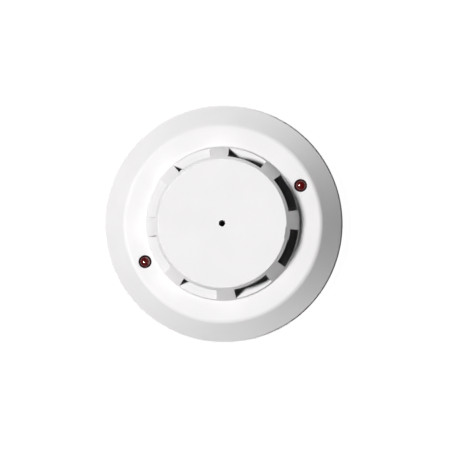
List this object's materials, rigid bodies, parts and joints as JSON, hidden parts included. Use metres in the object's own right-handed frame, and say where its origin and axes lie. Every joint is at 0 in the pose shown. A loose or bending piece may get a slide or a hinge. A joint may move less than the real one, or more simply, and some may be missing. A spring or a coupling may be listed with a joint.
{
  "type": "heat detector",
  "caption": "Round white point heat detector with a vented sensor cage, two red alarm lamps and a twist-lock mounting base.",
  "frame": {"origin": "centre of the mounting face, on the underside of the mounting base", "axes": "+Z out of the mounting face towards the sensor cage; +X through the mounting slots; alarm lamp 1 at 23 degrees from +X"},
  "size_m": [0.1, 0.1, 0.0398],
  "materials": {
    "housing_plastic": "fine-textured white ABS, soft sheen",
    "base_plastic": "white ABS, matt",
    "chamber_plastic": "white ABS, smooth",
    "black_plastic": "black polyamide",
    "lamp_red": "clear red epoxy",
    "board_laminate": "green solder mask on glass laminate",
    "bead_epoxy": "black dipped epoxy",
    "chip_epoxy": "moulded black epoxy",
    "disc_coating": "orange-brown dipped coating",
    "varistor_coating": "blue dipped coating",
    "resistor_coating": "tan lacquer",
    "reed_glass": "clear greenish glass",
    "can_aluminium": "sleeved can with bare top",
    "tinned_wire": "tinned copper",
    "contact_brass": "stamped spring brass",
    "plated_steel": "zinc-plated steel"
  },
  "bodies": {
    "base": {"mounting_base": "base_plastic", "base_contact_1": "contact_brass", "base_contact_2": "contact_brass", "base_contact_3": "contact_brass", "base_contact_4": "contact_brass"},
    "clamp_1": {"terminal_clamp_1": "plated_steel"},
    "screw_1": {"terminal_screw_1": "plated_steel"},
    "clamp_2": {"terminal_clamp_2": "plated_steel"},
    "screw_2": {"terminal_screw_2": "plated_steel"},
    "clamp_3": {"terminal_clamp_3": "plated_steel"},
    "screw_3": {"terminal_screw_3": "plated_steel"},
    "clamp_4": {"terminal_clamp_4": "plated_steel"},
    "screw_4": {"terminal_screw_4": "plated_steel"},
    "head": {"back_plate": "base_plastic", "contact_blade_1": "contact_brass", "contact_blade_2": "contact_brass", "contact_blade_3": "contact_brass", "contact_blade_4": "contact_brass", "circuit_board": "board_laminate", "board_screws": "plated_steel", "outer_cover": "housing_plastic", "cover_screws": "plated_steel", "sensor_cage": "housing_plastic", "chamber_floor": "chamber_plastic", "thermistor_bead": "bead_epoxy", "thermistor_wires": "tinned_wire", "thermistor_guide": "black_plastic", "alarm_lamp_1": "lamp_red", "alarm_lamp_2": "lamp_red", "lamp_spacers": "black_plastic", "lamp_leads": "tinned_wire", "controller_chip": "chip_epoxy", "electrolytic_capacitors": "can_aluminium", "ceramic_capacitors": "disc_coating", "resistors": "resistor_coating", "rectifier_diodes": "chip_epoxy", "surge_suppressor": "varistor_coating", "transistors": "chip_epoxy", "reed_switch": "reed_glass", "reference_thermistor": "bead_epoxy"}
  },
  "joints": [
    {"name": "head_twist", "type": "hinge", "parent": "base", "child": "head", "pos_m": [0, 0, 0], "axis": [0, 0, 1], "range_deg": [0, 18]},
    {"name": "clamp_lift_1", "type": "slide", "parent": "base", "child": "clamp_1", "axis": [0, 0, 1], "range_m": [0, 0.0015]},
    {"name": "screw_turn_1", "type": "hinge", "parent": "clamp_1", "child": "screw_1", "pos_m": [0.02334, 0.02334, 0.006], "axis": [0, 0, 1], "range_deg": [0, 900]},
    {"name": "clamp_lift_2", "type": "slide", "parent": "base", "child": "clamp_2", "axis": [0, 0, 1], "range_m": [0, 0.0015]},
    {"name": "screw_turn_2", "type": "hinge", "parent": "clamp_2", "child": "screw_2", "pos_m": [-0.02334, 0.02334, 0.006], "axis": [0, 0, 1], "range_deg": [0, 900]},
    {"name": "clamp_lift_3", "type": "slide", "parent": "base", "child": "clamp_3", "axis": [0, 0, 1], "range_m": [0, 0.0015]},
    {"name": "screw_turn_3", "type": "hinge", "parent": "clamp_3", "child": "screw_3", "pos_m": [-0.02334, -0.02334, 0.006], "axis": [0, 0, 1], "range_deg": [0, 900]},
    {"name": "clamp_lift_4", "type": "slide", "parent": "base", "child": "clamp_4", "axis": [0, 0, 1], "range_m": [0, 0.0015]},
    {"name": "screw_turn_4", "type": "hinge", "parent": "clamp_4", "child": "screw_4", "pos_m": [0.02334, -0.02334, 0.006], "axis": [0, 0, 1], "range_deg": [0, 900]}
  ],
  "couplings": [
    {"joint": "screw_turn_1", "follows": "clamp_lift_1", "rad_per_m": 10472},
    {"joint": "screw_turn_2", "follows": "clamp_lift_2", "rad_per_m": 10472},
    {"joint": "screw_turn_3", "follows": "clamp_lift_3", "rad_per_m": 10472},
    {"joint": "screw_turn_4", "follows": "clamp_lift_4", "rad_per_m": 10472}
  ]
}
